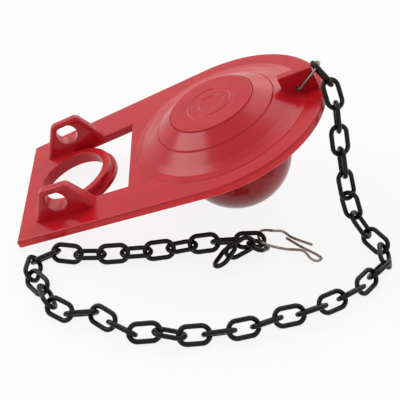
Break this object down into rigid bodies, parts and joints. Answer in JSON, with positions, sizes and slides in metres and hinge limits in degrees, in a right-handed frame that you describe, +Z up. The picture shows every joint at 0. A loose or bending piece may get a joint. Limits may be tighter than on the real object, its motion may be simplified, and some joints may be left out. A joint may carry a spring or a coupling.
{
  "type": "toilet flapper",
  "caption": "Rubber flush valve flapper with a domed disc, float bulb, collar ring and hinge ears, with a lift chain and wire clips.",
  "frame": {"origin": "middle of the whole part's footprint, on the surface that it lies on", "axes": "+X from the hinge end towards the lift tab, +Y across the disc, away from the chain, +Z up from the surface"},
  "size_m": [0.1438, 0.1298, 0.0654],
  "materials": {
    "rubber": "satin",
    "chain": "satin",
    "wire": "polished"
  },
  "bodies": {
    "root": {"flapper_body": "rubber", "front_clip": "wire", "end_clip": "wire", "chain_link_01": "chain", "chain_link_02": "chain", "chain_link_03": "chain", "chain_link_04": "chain", "chain_link_05": "chain", "chain_link_06": "chain", "chain_link_07": "chain", "chain_link_08": "chain", "chain_link_09": "chain", "chain_link_10": "chain", "chain_link_11": "chain", "chain_link_12": "chain", "chain_link_13": "chain", "chain_link_14": "chain", "chain_link_15": "chain", "chain_link_16": "chain", "chain_link_17": "chain", "chain_link_18": "chain", "chain_link_19": "chain", "chain_link_20": "chain", "chain_link_21": "chain", "chain_link_22": "chain", "chain_link_23": "chain", "chain_link_24": "chain", "chain_link_25": "chain", "chain_link_26": "chain", "chain_link_27": "chain", "chain_link_28": "chain", "chain_link_29": "chain", "chain_link_30": "chain", "chain_link_31": "chain", "chain_link_32": "chain", "chain_link_33": "chain", "chain_link_34": "chain", "chain_link_35": "chain", "chain_link_36": "chain", "chain_link_37": "chain", "chain_link_38": "chain", "chain_link_39": "chain", "chain_link_40": "chain", "chain_link_41": "chain", "chain_link_42": "chain"}
  },
  "joints": []
}
